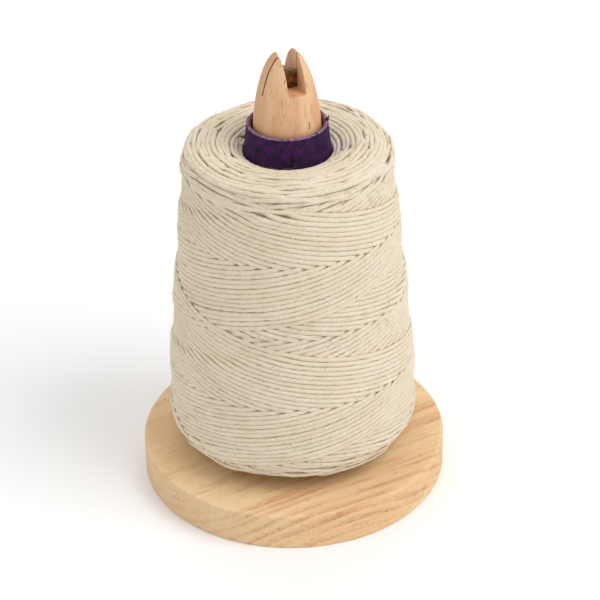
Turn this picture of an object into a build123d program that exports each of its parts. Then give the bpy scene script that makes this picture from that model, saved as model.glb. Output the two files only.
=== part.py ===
from build123d import *

import math
import os

# A cone of wound cotton string on a wooden spindle stand, in millimetres.
# The origin is the centre of the base's underside and +Z is up. The slot in the peg's
# nose runs along Y, and the blade stands across it, along X.

# Base disc
BASE_DIAMETER = 150.0
BASE_THICKNESS = 19.0
BASE_TOP_EASE = 1.6
BASE_BOTTOM_EASE = 1.0
SOCKET_DEPTH = 9.0

# Turned peg
PEG_DIAMETER = 32.0
PEG_TOP = 229.0
NOSE_LENGTH = 45.5
NOSE_ANGLES = (0, 20, 40, 60, 75, 90)
PEG_FOOT_CHAMFER = 0.8
GLUE_GAP = 0.05
SLOT_WIDTH = 8.8
SLOT_DEPTH = 19.6
KERF_DEPTH = 1.0
KERF_WIDTH = 0.7
KERF_SHIFT = 2.0

# Cutting blade
BLADE_THICKNESS = 0.6
BLADE_HALF_LENGTH = 9.5
BLADE_LOW_SHOULDER = 6.5
BLADE_HIGH_SHOULDER = 10.5
BLADE_PEAK = 15.0
BLADE_PEAK_X = -5.8
BEVEL_HEIGHT = 1.45
BEVEL_DEPTH = 0.22

# Countersunk wood screw
SCREW_DIAMETER = 4.2
SCREW_HEAD_DIAMETER = 8.4
SCREW_LENGTH = 45.0
SCREW_POINT = 5.0
SCREW_SINK = 0.6
RECESS_WIDTH = 1.2
RECESS_SPAN = 4.6
RECESS_DEPTH = 1.8

# Winding cone: 5 degrees 57 minutes from axis to wall
CONE_HALF_ANGLE = 5.95
CONE_LENGTH = 172.0
CONE_TOP_DIAMETER = 38.1
PAPER_THICKNESS = 0.4
PAPER_TRIM = 0.4
TURNING_GAP = 0.1
CARD_WALL = 1.7
RIM_ROUNDING = 0.6

# Wound string: radius and height of the points that set its outline
STRING_BOTTOM = 26.5
STRING_TOP = 176.5
STRING_CROWN = (34.0, 182.0)
STRING_SHOULDER = (48.0, 179.0)
STRING_UPPER_SIDE = (50.2, 168.0)
STRING_MIDDLE_SIDES = ((53.8, 128.5), (58.4, 82.0))
STRING_LOWER_SIDE = (60.9, 38.0)
STRING_HEEL = (54.0, 26.5)

PEG_RADIUS = PEG_DIAMETER / 2
PEG_FOOT = BASE_THICKNESS - SOCKET_DEPTH
NOSE_START = PEG_TOP - NOSE_LENGTH
SLOT_FLOOR = PEG_TOP - SLOT_DEPTH
KERF_FLOOR = SLOT_FLOOR - KERF_DEPTH
CONE_TOP = BASE_THICKNESS + CONE_LENGTH
CONE_TAPER = math.tan(math.radians(CONE_HALF_ANGLE))
CARD_INSET = PAPER_THICKNESS + TURNING_GAP
PAPER_BOTTOM = BASE_THICKNESS + PAPER_TRIM
PAPER_TOP = CONE_TOP - PAPER_TRIM
EDGE_NORMAL = (BLADE_PEAK - BLADE_LOW_SHOULDER, 0, BLADE_HALF_LENGTH - BLADE_PEAK_X)


def cone_radius(height):
    """Outer radius of the papered cone at a height above the floor."""
    return CONE_TOP_DIAMETER / 2 + (CONE_TOP - height) * CONE_TAPER


def nose_point(angle):
    """Radius and height on the peg's half-ellipse nose, from 0 at its foot to 90 at its tip."""
    turn = math.radians(angle)
    return (PEG_RADIUS * math.cos(turn), NOSE_START + NOSE_LENGTH * math.sin(turn))


def cone_wall(low, high, inset, wall):
    """Corners of the half-section of a conical wall that lies inset from the papered cone."""
    outer_low = cone_radius(low) - inset
    outer_high = cone_radius(high) - inset
    return [(outer_low - wall, low), (outer_low, low), (outer_high, high), (outer_high - wall, high)]


os.makedirs("parts", exist_ok=True)

# The base is a turned pine disc. The peg stands in a shallow socket in its top, and a
# screw comes up through a countersunk hole from below.
with BuildPart() as base_disc:
    with BuildSketch(Plane.XY):
        Circle(BASE_DIAMETER / 2)
    extrude(amount=BASE_THICKNESS)
    fillet(base_disc.edges().sort_by(Axis.Z)[-1], radius=BASE_TOP_EASE)
    fillet(base_disc.edges().sort_by(Axis.Z)[0], radius=BASE_BOTTOM_EASE)
    with Locations((0, 0, BASE_THICKNESS)):
        Hole(PEG_RADIUS + GLUE_GAP, depth=SOCKET_DEPTH)
    with Locations(Plane(origin=(0, 0, 0), z_dir=(0, 0, -1))):
        CounterSinkHole(
            radius=SCREW_DIAMETER / 2 + GLUE_GAP,
            counter_sink_radius=SCREW_HEAD_DIAMETER / 2 + SCREW_SINK + GLUE_GAP,
            depth=BASE_THICKNESS,
            counter_sink_angle=90,
        )
base_disc.part.label = "base_disc"
export_step(base_disc.part, "parts/base_disc.step")

# The peg is a dowel with a half-ellipse nose. A slot through the nose guides the string
# to the blade, which sits in a saw kerf across the slot.
with BuildPart() as spindle_peg:
    with BuildSketch(Plane.XZ):
        with BuildLine():
            Polyline((0, PEG_TOP), (0, PEG_FOOT), (PEG_RADIUS, PEG_FOOT), (PEG_RADIUS, NOSE_START))
            Spline(*[nose_point(angle) for angle in NOSE_ANGLES], tangents=[(0, 1), (-1, 0)])
        make_face()
    revolve(axis=Axis.Z)
    chamfer(spindle_peg.edges().sort_by(Axis.Z)[0], length=PEG_FOOT_CHAMFER)
    with BuildSketch(Plane.XY.offset(SLOT_FLOOR)):
        Rectangle(SLOT_WIDTH, 2 * PEG_DIAMETER)
    extrude(amount=2 * SLOT_DEPTH, mode=Mode.SUBTRACT)
    with BuildSketch(Plane.XY.offset(KERF_FLOOR)):
        with Locations((0, -KERF_SHIFT)):
            Rectangle(2 * PEG_DIAMETER, KERF_WIDTH)
    extrude(amount=2 * SLOT_DEPTH, mode=Mode.SUBTRACT)
    with Locations(Plane(origin=(0, 0, PEG_FOOT), z_dir=(0, 0, -1))):
        Hole(SCREW_DIAMETER / 2 + GLUE_GAP, depth=SCREW_SINK + SCREW_LENGTH - PEG_FOOT)
spindle_peg.part.label = "spindle_peg"
export_step(spindle_peg.part, "parts/spindle_peg.step")

# The blade stands on the kerf's floor. Its sloping top edge is ground from both sides.
with BuildPart() as cutter_blade:
    with BuildSketch(Plane.XZ.offset(KERF_SHIFT)):
        with BuildLine():
            Polyline(
                (-BLADE_HALF_LENGTH, KERF_FLOOR),
                (BLADE_HALF_LENGTH, KERF_FLOOR),
                (BLADE_HALF_LENGTH, KERF_FLOOR + BLADE_LOW_SHOULDER),
                (BLADE_PEAK_X, KERF_FLOOR + BLADE_PEAK),
                (-BLADE_HALF_LENGTH, KERF_FLOOR + BLADE_HIGH_SHOULDER),
                close=True,
            )
        make_face()
    extrude(amount=BLADE_THICKNESS / 2, both=True)
    edge_face = cutter_blade.faces().sort_by(Axis((0, 0, 0), EDGE_NORMAL))[-1]
    chamfer(
        edge_face.edges().group_by(Edge.length)[-1],
        length=BEVEL_DEPTH,
        length2=BEVEL_HEIGHT,
        reference=edge_face,
    )
cutter_blade.part.label = "cutter_blade"
export_step(cutter_blade.part, "parts/cutter_blade.step")

# A countersunk wood screw with a cross recess holds the peg to the base.
with BuildPart() as base_screw:
    with BuildSketch(Plane.XZ):
        head_drop = (SCREW_HEAD_DIAMETER - SCREW_DIAMETER) / 2
        with BuildLine():
            Polyline(
                (0, SCREW_SINK),
                (SCREW_HEAD_DIAMETER / 2, SCREW_SINK),
                (SCREW_DIAMETER / 2, SCREW_SINK + head_drop),
                (SCREW_DIAMETER / 2, SCREW_SINK + SCREW_LENGTH - SCREW_POINT),
                (0, SCREW_SINK + SCREW_LENGTH),
                close=True,
            )
        make_face()
    revolve(axis=Axis.Z)
    with BuildSketch(Plane.XY.offset(SCREW_SINK)):
        Rectangle(RECESS_SPAN, RECESS_WIDTH)
        Rectangle(RECESS_WIDTH, RECESS_SPAN)
    extrude(amount=RECESS_DEPTH, mode=Mode.SUBTRACT)
base_screw.part.label = "base_screw"
export_step(base_screw.part, "parts/base_screw.step")

# The cardboard cone stands on the base, round the peg, and lifts off over the nose.
with BuildPart() as cardboard_cone:
    with BuildSketch(Plane.XZ):
        with BuildLine():
            Polyline(*cone_wall(BASE_THICKNESS, CONE_TOP, CARD_INSET, CARD_WALL), close=True)
        make_face()
    revolve(axis=Axis.Z)
    fillet(cardboard_cone.edges().group_by(Axis.Z)[-1], radius=RIM_ROUNDING)
cardboard_cone.part.label = "cardboard_cone"
export_step(cardboard_cone.part, "parts/cardboard_cone.step")

# Purple paper covers the cardboard from just below the rim to just above the foot.
with BuildPart() as paper_sleeve:
    with BuildSketch(Plane.XZ):
        with BuildLine():
            Polyline(*cone_wall(PAPER_BOTTOM, PAPER_TOP, 0, PAPER_THICKNESS), close=True)
        make_face()
    revolve(axis=Axis.Z)
paper_sleeve.part.label = "paper_sleeve"
export_step(paper_sleeve.part, "parts/paper_sleeve.step")

# The string is wound on the paper as one thick package with rounded ends.
with BuildPart() as string_package:
    with BuildSketch(Plane.XZ):
        with BuildLine():
            Line((cone_radius(STRING_BOTTOM), STRING_BOTTOM), (cone_radius(STRING_TOP), STRING_TOP))
            ThreePointArc((cone_radius(STRING_TOP), STRING_TOP), STRING_CROWN, STRING_SHOULDER)
            side = Spline(STRING_UPPER_SIDE, *STRING_MIDDLE_SIDES, STRING_LOWER_SIDE)
            TangentArc(side @ 0, STRING_SHOULDER, tangent=side % 0 * -1)
            TangentArc(side @ 1, STRING_HEEL, tangent=side % 1)
            Line(STRING_HEEL, (cone_radius(STRING_BOTTOM), STRING_BOTTOM))
        make_face()
    revolve(axis=Axis.Z)
string_package.part.label = "string_package"
export_step(string_package.part, "parts/string_package.step")
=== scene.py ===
"""Looks of a cone of wound cotton string on a wooden spindle stand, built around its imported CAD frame.

Sizes inside the classes are in millimetres, and meshes are made in metres in the CAD frame: the origin is the
centre of the base's underside, +Z is up, and the slot in the peg's nose runs along Y.
"""

from __future__ import annotations

import logging
import math
from dataclasses import dataclass, field
from enum import Enum
from typing import Any, Iterable, Sequence, Union

import bmesh
import bpy
import numpy as np
from mathutils import Matrix, Vector, noise


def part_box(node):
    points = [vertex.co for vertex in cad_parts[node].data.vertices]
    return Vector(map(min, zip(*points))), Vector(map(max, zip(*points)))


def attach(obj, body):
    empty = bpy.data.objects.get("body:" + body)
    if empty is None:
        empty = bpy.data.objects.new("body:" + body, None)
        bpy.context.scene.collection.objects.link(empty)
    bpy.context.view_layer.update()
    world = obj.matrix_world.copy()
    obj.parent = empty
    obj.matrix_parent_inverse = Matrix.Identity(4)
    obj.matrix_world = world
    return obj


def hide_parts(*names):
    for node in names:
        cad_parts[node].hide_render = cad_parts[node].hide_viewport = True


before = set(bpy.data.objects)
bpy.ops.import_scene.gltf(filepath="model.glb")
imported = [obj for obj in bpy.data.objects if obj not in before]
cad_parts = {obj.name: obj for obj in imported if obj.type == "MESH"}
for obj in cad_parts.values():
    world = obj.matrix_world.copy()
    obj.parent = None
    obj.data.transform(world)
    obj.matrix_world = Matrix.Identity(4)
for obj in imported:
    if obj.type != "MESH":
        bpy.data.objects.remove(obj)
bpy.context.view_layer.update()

MM = 0.001
FULL_TURN = 2 * math.pi

Colour = tuple[float, float, float, float]
Triple = tuple[float, float, float]
Key = Union[str, int]

log = logging.getLogger("string_cone")


def srgb(red: float, green: float, blue: float) -> Colour:
    """Turns a display colour of 0 to 255 into the linear colour that a node takes.

    Args:
        red, green, blue: The display colour's channels.

    Returns:
        The linear colour, with full alpha.
    """
    levels = [level / 255 for level in (red, green, blue)]
    linear = [v / 12.92 if v <= 0.04045 else ((v + 0.055) / 1.055) ** 2.4 for v in levels]
    return (linear[0], linear[1], linear[2], 1.0)


def smooth(values: np.ndarray, low: float, high: float) -> np.ndarray:
    """Rises smoothly from 0 at low to 1 at high.

    Args:
        values: Where to work out the rise.
        low: Value at which the rise starts.
        high: Value at which the rise ends.

    Returns:
        The rise at each value.
    """
    rise = np.clip((np.asarray(values, float) - low) / (high - low), 0.0, 1.0)
    return rise * rise * (3 - 2 * rise)


# ---------------------------------------------------------------------------------------------
# Node graphs
# ---------------------------------------------------------------------------------------------


class Wire:
    """A node socket that adds a Math node when it is used in arithmetic."""

    def __init__(self, graph: "Graph", socket: bpy.types.NodeSocket) -> None:
        """Wraps a socket of a graph."""
        self.graph = graph
        self.socket = socket

    def __add__(self, other: "Operand") -> "Wire":
        """Adds."""
        return self.graph.math("ADD", self, other)

    def __radd__(self, other: "Operand") -> "Wire":
        """Adds, with the wire on the right."""
        return self.graph.math("ADD", other, self)

    def __sub__(self, other: "Operand") -> "Wire":
        """Subtracts."""
        return self.graph.math("SUBTRACT", self, other)

    def __rsub__(self, other: "Operand") -> "Wire":
        """Subtracts, with the wire on the right."""
        return self.graph.math("SUBTRACT", other, self)

    def __mul__(self, other: "Operand") -> "Wire":
        """Multiplies."""
        return self.graph.math("MULTIPLY", self, other)

    def __rmul__(self, other: "Operand") -> "Wire":
        """Multiplies, with the wire on the right."""
        return self.graph.math("MULTIPLY", other, self)

    def __abs__(self) -> "Wire":
        """Drops the sign."""
        return self.graph.math("ABSOLUTE", self)

    def rise(self, low: float, high: float) -> "Wire":
        """Rises smoothly from 0 at low to 1 at high, or falls where low is the larger."""
        sockets = {"Value": self, "From Min": low, "From Max": high}
        return self.graph.node("ShaderNodeMapRange", {"interpolation_type": "SMOOTHSTEP"}, sockets)[0]


Operand = Union[Wire, float]


class Outlets:
    """The output sockets of one node."""

    def __init__(self, graph: "Graph", node: bpy.types.Node) -> None:
        """Keeps the node whose outputs are asked for."""
        self.graph = graph
        self.node = node

    def __getitem__(self, key: Key) -> Wire:
        """Gives an output by its name or its place."""
        return Wire(self.graph, self.node.outputs[key])


class Graph:
    """A node tree that is written as expressions."""

    def __init__(self, tree: bpy.types.NodeTree) -> None:
        """Starts on a tree."""
        self.tree = tree

    def node(self, kind: str, settings: dict[str, Any] | None = None,
             sockets: dict[Key, Any] | None = None) -> Outlets:
        """Adds a node.

        Args:
            kind: The node's type.
            settings: Properties, set before the sockets.
            sockets: A value or a wire for each input named.

        Returns:
            The node's outputs.
        """
        node = self.tree.nodes.new(kind)
        for name, value in (settings or {}).items():
            setattr(node, name, value)
        for key, value in (sockets or {}).items():
            if isinstance(value, Wire):
                self.tree.links.new(value.socket, node.inputs[key])
            else:
                node.inputs[key].default_value = value
        return Outlets(self, node)

    def math(self, operation: str, *operands: Operand) -> Wire:
        """Adds a Math node.

        Args:
            operation: The node's operation.
            operands: Its inputs, in order.

        Returns:
            The result.
        """
        return self.node("ShaderNodeMath", {"operation": operation}, dict(enumerate(operands)))[0]

    def vector(self, x: Operand, y: Operand, z: Operand) -> Wire:
        """Joins three values in a vector."""
        return self.node("ShaderNodeCombineXYZ", None, {0: x, 1: y, 2: z})[0]

    def split(self, vector: Wire) -> tuple[Wire, Wire, Wire]:
        """Takes a vector apart."""
        parts = self.node("ShaderNodeSeparateXYZ", None, {0: vector})
        return parts[0], parts[1], parts[2]


class Shader(Graph):
    """A material written as expressions on a point's place on the object."""

    def __init__(self, name: str) -> None:
        """Starts an empty material.

        Args:
            name: The material's name.
        """
        self.material = bpy.data.materials.new(name)
        self.material.use_nodes = True
        super().__init__(self.material.node_tree)
        self.tree.nodes.clear()
        self.place = self.node("ShaderNodeTexCoord")["Object"]
        self.facing = self.node("ShaderNodeNewGeometry")["Normal"]

    def mapped(self, scale: Triple, turn: Triple = (0, 0, 0), shift: Triple = (0, 0, 0),
               vector: Wire | None = None) -> Wire:
        """Moves, turns and stretches coordinates.

        Args:
            scale: Stretch along each axis, in units per metre.
            turn: Rotation in degrees.
            shift: Shift, after the turn.
            vector: Coordinates to change, or the object's own.

        Returns:
            The changed coordinates.
        """
        sockets = {"Vector": vector or self.place, "Location": shift, "Scale": scale,
                   "Rotation": tuple(math.radians(angle) for angle in turn)}
        return self.node("ShaderNodeMapping", {"vector_type": "POINT"}, sockets)[0]

    def noise(self, scale: float | Triple, detail: float = 2.0, roughness: float = 0.5,
              at: Wire | None = None) -> Wire:
        """Gives fractal noise from 0 to 1, mostly near a half.

        Args:
            scale: Lumps per metre, or three scales where the lumps are stretched.
            detail: Octaves.
            roughness: Share of the finer octaves.
            at: Coordinates, or the object's own.

        Returns:
            The noise.
        """
        if isinstance(scale, tuple):
            scale, at = 1.0, self.mapped(scale, vector=at)
        sockets = {"Vector": at or self.place, "Scale": scale, "Detail": detail, "Roughness": roughness}
        return self.node("ShaderNodeTexNoise", {"noise_dimensions": "3D"}, sockets)[0]

    def cells(self, scale: float, at: Wire | None = None) -> Wire:
        """Gives the distance to the nearest of scattered points."""
        sockets = {"Vector": at or self.place, "Scale": scale}
        return self.node("ShaderNodeTexVoronoi", None, sockets)["Distance"]

    def attribute(self, name: str, output: str = "Fac") -> Wire:
        """Reads an attribute of the mesh."""
        return self.node("ShaderNodeAttribute", {"attribute_name": name})[output]

    def mix(self, factor: Operand, first: Any, second: Any) -> Wire:
        """Mixes a share of the second colour into the first."""
        return self.node("ShaderNodeMix", {"data_type": "RGBA"}, {0: factor, 6: first, 7: second})[2]

    def coats(self, ground: Any, *coats: tuple[Operand, Any]) -> Wire:
        """Lays coats of colour over a ground.

        Args:
            ground: Colour or wire underneath.
            coats: Cover from 0 to 1 and colour of each coat, in the order laid.

        Returns:
            The colour on top.
        """
        for cover, colour in coats:
            ground = self.mix(cover, ground, colour)
        return ground

    def relief(self, *layers: tuple[Operand, float]) -> Wire | None:
        """Bends the surface normal by layers of relief, each laid on the one before.

        Args:
            layers: Height from 0 to 1 and depth in millimetres of each layer.

        Returns:
            The bent normal.
        """
        normal = None
        for height, depth in layers:
            sockets = {"Height": height, "Distance": depth * MM, "Strength": 1.0}
            if normal:
                sockets["Normal"] = normal
            normal = self.node("ShaderNodeBump", None, sockets)[0]
        return normal

    def done(self, colour: Any, roughness: Operand, normal: Wire | None = None,
             **constants: float) -> bpy.types.Material:
        """Ends the material in one Principled shader.

        Args:
            colour: Base colour.
            roughness: Roughness.
            normal: Surface normal.
            constants: Other sockets, named with underscores for spaces.

        Returns:
            The material.
        """
        sockets: dict[Key, Any] = {"Base Color": colour, "Roughness": roughness}
        if normal:
            sockets["Normal"] = normal
        for name, value in constants.items():
            sockets[name.replace("_", " ")] = value
        shaded = self.node("ShaderNodeBsdfPrincipled", None, sockets)[0]
        self.node("ShaderNodeOutputMaterial", None, {"Surface": shaded})
        return self.material


# ---------------------------------------------------------------------------------------------
# Finishes: scales of noise are in lumps per metre, sizes in millimetres and turns in degrees
# ---------------------------------------------------------------------------------------------


@dataclass(frozen=True)
class CottonFinish:
    """Undyed cotton string: plies, loose fibre, specks of seed and thread, and painted tan shade in the
    grooves between strands and plies.
    """

    light: Colour = srgb(235, 222, 199)
    warm: Colour = srgb(229, 212, 182)
    grey: Colour = srgb(217, 208, 190)
    # painted shade colour for the grooves between strands and plies, and where the fibre relief dips
    painted_groove_shade: Colour = srgb(164, 138, 100)
    seed: Colour = srgb(96, 70, 48)
    blue_thread: Colour = srgb(156, 184, 180)
    mauve: Colour = srgb(176, 150, 172)
    rubbed_at: Triple = (23.5, -16.0, 179.0)
    rubbed_reach: float = 9.0
    rubbed_core: float = 2.0
    ply_length: float = 8.5
    plies: int = 3

    def material(self) -> bpy.types.Material:
        """Makes the material.

        Returns:
            The material, which reads the strand attributes run, tone and around.
        """
        shade = Shader("cotton_string_surface")
        run, tone = shade.attribute("run"), shade.attribute("tone")
        out, side, _ = shade.split(shade.attribute("around", "Vector"))
        twist = shade.math("ARCTAN2", side, out) + run * (FULL_TURN / self.ply_length)
        ply = abs(shade.math("SINE", twist * (self.plies / 2)))
        twisted = shade.vector(run * 0.45, shade.math("COSINE", twist) * 3.0, shade.math("SINE", twist) * 3.0)
        fibre = shade.noise(2.2, 4.0, 0.62, twisted)
        lint = shade.noise(1500.0, 2.0, 0.6)
        uneven = shade.noise(1.0, 2.0, 0.6, shade.vector(run * 0.16, tone * 61.0, side * 0.4))
        cloud = shade.noise(55.0, 3.0, 0.55)
        patch = shade.noise(1.0, 2.0, 0.5, shade.vector(run * 0.02, tone * 37.0, 0.0))
        seeds = shade.cells(260.0).rise(0.11, 0.06) * shade.noise(90.0, 1.0).rise(0.53, 0.57)
        threads = shade.noise((110, 110, 320), 1.0).rise(0.775, 0.8)
        colour = shade.coats(
            self.light,
            (cloud.rise(0.35, 0.68) * 0.6, self.warm),
            (patch.rise(0.5, 0.75) * 0.5, self.grey),
            (tone.rise(0.6, 1.0) * 0.35, self.warm),
            # painted shade in the grooves between the plies
            ((1 - ply.rise(0.0, 0.45)) * 0.08, self.painted_groove_shade),
            # painted shade where the fibre relief dips
            (fibre.rise(0.56, 0.34) * 0.26, self.painted_groove_shade),
            # painted shade on the strand's sides, where it lies in the grooves between strands
            (out.rise(0.78, 0.2) * (0.55 + uneven.rise(0.35, 0.65) * 0.45), self.painted_groove_shade),
            (seeds * 0.75, self.seed),
            (threads * 0.5, self.blue_thread),
            (self._rubbed(shade) * lint.rise(0.42, 0.6) * 0.6, self.mauve))
        normal = shade.relief((ply.rise(0.0, 0.9), 0.045), (fibre, 0.17), (lint, 0.09))
        return shade.done(colour, 0.92 - fibre * 0.12, normal, Sheen_Weight=0.25, Sheen_Roughness=0.6,
                          Specular_IOR_Level=0.2)

    def _rubbed(self, shade: Shader) -> Wire:
        """Marks the spot on the crown where dye from the paper has rubbed off.

        Args:
            shade: The material.

        Returns:
            1 in the middle of the spot and 0 outside.
        """
        spot = shade.vector(*(value * MM for value in self.rubbed_at))
        away = shade.node("ShaderNodeVectorMath", {"operation": "DISTANCE"}, {0: shade.place, 1: spot})
        return away["Value"].rise(self.rubbed_reach * MM, self.rubbed_core * MM)


@dataclass(frozen=True)
class CoreFinish:
    """Cotton deep between the strands, coloured darker than the strands as painted shade."""

    # both colours are painted shade: the strands' cotton made darker, the second a little lighter than the
    # first
    shaded: Colour = srgb(208, 188, 154)
    light: Colour = srgb(224, 206, 176)

    def material(self) -> bpy.types.Material:
        """Makes the material.

        Returns:
            The material.
        """
        shade = Shader("cotton_core_surface")
        fluff = shade.noise(900.0, 3.0, 0.6)
        # mixes the two painted shade colours by fluff noise
        return shade.done(shade.mix(fluff, self.shaded, self.light), 0.95, shade.relief((fluff, 0.3)))


@dataclass(frozen=True)
class PineFinish:
    """Sanded pine board: growth rings cut lengthwise, end grain at two ends of the rim, short pores."""

    pale: Colour = srgb(238, 208, 165)
    cream: Colour = srgb(232, 196, 149)
    late: Colour = srgb(206, 150, 102)
    pore: Colour = srgb(150, 98, 58)
    end_grey: Colour = srgb(214, 186, 150)
    grain_turn: float = -4.0
    tilt: float = 1.5
    pith_across: float = 14.0
    pith_up: float = 94.0
    ring_width: float = 4.2
    ring_uneven: float = 11.0
    sway_across: float = 16.0
    sway_up: float = 8.0
    plain_from: float = -20.0
    plain_to: float = 25.0

    def material(self) -> bpy.types.Material:
        """Makes the material.

        Returns:
            The material.
        """
        shade = Shader("pine_surface")
        grain = shade.mapped((1, 1, 1), (0, self.tilt, self.grain_turn))
        late, plain = self._rings(shade, grain)
        streak = shade.noise((13, 420, 420), 4.0, 0.65, grain)
        fine = shade.noise((40, 2200, 2200), 2.0, 0.6, grain)
        broad = shade.noise((5, 45, 45), 2.0, 0.5, grain)
        dash = shade.noise((230, 2400, 2400), 1.0, 0.5, grain).rise(0.6, 0.7)
        dots = shade.noise((1700, 1700, 900), 1.0, 0.5, grain).rise(0.6, 0.7)
        marks = shade.cells(1.0, shade.mapped((60, 150, 150), vector=grain)).rise(0.09, 0.04)
        speck = shade.noise(1500.0, 2.0, 0.6)
        end_colour = shade.mix(speck.rise(0.4, 0.62) * 0.4, self.end_grey, self.late)
        rim, end = self._sides(shade)
        colour = shade.coats(
            self.pale,
            (broad.rise(0.3, 0.7), self.cream),
            (late * (0.42 + streak.rise(0.35, 0.7) * 0.55), self.late),
            (streak.rise(0.5, 0.75) * (0.4 - plain * 0.15), self.late),
            (fine.rise(0.5, 0.75) * 0.28, self.late),
            (dash * (0.22 + late * 0.4), self.pore),
            (marks * 0.5, self.pore),
            (rim * dots * (0.12 + late * 0.6), self.pore),
            (end * 0.45, end_colour))
        normal = shade.relief((streak * 0.5 + late * 0.5, 0.05), (dash, -0.04))
        return shade.done(colour, 0.64 - late * 0.08 + streak * 0.08, normal, Specular_IOR_Level=0.3)

    def _rings(self, shade: Shader, grain: Wire) -> tuple[Wire, Wire]:
        """Marks the growth rings about a pith above the board.

        Args:
            shade: The material.
            grain: Coordinates along, across and up through the grain.

        Returns:
            The late wood of each ring, and the plain side of the board, where it is faint.
        """
        sway = shade.noise((5, 13, 13), 2.0, 0.5, grain) - 0.5
        along, across, up = shade.split(grain)
        from_pith = across + sway * (self.sway_across * MM) - self.pith_across * MM
        over_pith = up + sway * (self.sway_up * MM) - self.pith_up * MM
        away = shade.math("SQRT", from_pith * from_pith + over_pith * over_pith)
        uneven = shade.noise(1.0, 2.0, 0.5, shade.vector(away * 110, 0.0, 0.0)) - 0.5
        count = (away + uneven * (self.ring_uneven * MM)) * (1 / (self.ring_width * MM))
        ring, year = shade.math("FRACT", count), shade.math("FLOOR", count)
        vigour = shade.noise(1.0, 3.0, 0.6, shade.vector(year * 5.3, along * 22, across * 60))
        plain = across.rise(self.plain_from * MM, self.plain_to * MM)
        late = ring.rise(0.15, 0.85) * ring.rise(1.0, 0.88) * vigour.rise(0.36, 0.62) * (1 - plain * 0.75)
        return late, plain

    def _sides(self, shade: Shader) -> tuple[Wire, Wire]:
        """Marks the rim of the board, and the end grain at its two ends."""
        along, _, up = shade.split(shade.mapped((1, 1, 1), (0, 0, self.grain_turn), vector=shade.facing))
        return 1 - abs(up).rise(0.2, 0.6), abs(along).rise(0.5, 1.0)


@dataclass(frozen=True)
class PegFinish:
    """Turned hardwood dowel, tan to salmon, with fine dark pores along it, painted shade in the blade's kerf
    and one nick.
    """

    kerf_across: float
    kerf_floor: float
    kerf_half: float = 0.5
    kerf_depth: float = 1.0
    rust_reach: float = 3.4
    nick_turn: float = -74.0
    nick_height: float = 194.8
    tan: Colour = srgb(226, 188, 146)
    salmon: Colour = srgb(214, 163, 122)
    pore: Colour = srgb(134, 78, 42)
    orange: Colour = srgb(206, 134, 80)
    # dark brown for grain lines and rust, and also painted shade in the blade's kerf
    dark_brown_and_kerf_shade: Colour = srgb(150, 84, 44)
    nick: Colour = srgb(104, 58, 34)

    def material(self) -> bpy.types.Material:
        """Makes the material.

        Returns:
            The material.
        """
        shade = Shader("peg_wood_surface")
        grain = shade.mapped((1, 1, 1), (1.5, -2.0, 0))
        streak = shade.noise((520, 520, 11), 3.0, 0.6, grain)
        broad = shade.noise((70, 70, 5), 2.0, 0.5, grain)
        pores = shade.noise((1400, 1400, 26), 3.0, 0.6, grain).rise(0.56, 0.71)
        where = shade.noise((120, 120, 14), 1.0, 0.5, grain).rise(0.3, 0.6)
        line = shade.noise((900, 900, 9), 2.0, 0.6, grain).rise(0.6, 0.72)
        x, y, z = shade.split(shade.place)
        _, _, up = shade.split(shade.facing)
        off_kerf = abs(y - self.kerf_across * MM)
        # painted shade in the narrow kerf that holds the blade
        kerf = off_kerf.rise(self.kerf_half * MM, (self.kerf_half - 0.15) * MM)
        kerf = kerf * z.rise((self.kerf_floor - 0.4) * MM, (self.kerf_floor - 0.2) * MM)
        slot_floor = self.kerf_floor + self.kerf_depth
        rust = off_kerf.rise(self.rust_reach * MM, 0.6 * MM) * up.rise(0.8, 1.0)
        rust = rust * z.rise((slot_floor + 1.0) * MM, (slot_floor + 0.5) * MM)
        turn = shade.math("ARCTAN2", y, x) - math.radians(self.nick_turn) + (streak - 0.5) * 0.06
        nick = abs(turn).rise(0.04, 0.015) * abs(z - self.nick_height * MM).rise(2.2 * MM, 1.2 * MM)
        colour = shade.coats(
            self.tan,
            (broad.rise(0.35, 0.68), self.salmon),
            (streak.rise(0.5, 0.78) * 0.45, self.orange),
            (line * where * 0.5, self.dark_brown_and_kerf_shade),
            (pores * (0.1 + where * 0.6), self.pore),
            (up.rise(0.6, 1.0) * 0.35, self.orange),
            # painted shade in the kerf
            (kerf * 0.9, self.dark_brown_and_kerf_shade),
            (rust * shade.noise(500.0).rise(0.3, 0.6) * 0.8, self.dark_brown_and_kerf_shade),
            (nick * (0.65 + pores.rise(0.0, 0.05) * 0.2), self.nick))
        normal = shade.relief((streak, 0.06), (pores, -0.08))
        return shade.done(colour, 0.58 + streak * 0.1, normal, Specular_IOR_Level=0.4)


@dataclass(frozen=True)
class BladeFinish:
    """Dark blued steel with a ground edge and some rust."""

    steel: Colour = srgb(150, 104, 62)
    blued: Colour = srgb(92, 62, 42)
    ground: Colour = srgb(150, 134, 108)
    rust: Colour = srgb(128, 76, 36)

    def material(self) -> bpy.types.Material:
        """Makes the material.

        Returns:
            The material.
        """
        shade = Shader("blade_surface")
        marks = shade.noise((900, 900, 2600), 3.0, 0.6)
        cloud = shade.noise(420.0, 3.0, 0.6)
        _, _, up = shade.split(shade.facing)
        bevel = abs(up).rise(0.03, 0.1)
        colour = shade.coats(
            self.steel,
            (cloud.rise(0.35, 0.65), self.blued),
            (cloud.rise(0.6, 0.75) * 0.5, self.rust),
            (bevel, self.ground))
        roughness = 0.42 + marks * 0.2 - bevel * 0.12
        return shade.done(colour, roughness, shade.relief((marks, 0.02)), Metallic=0.85)


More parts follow.
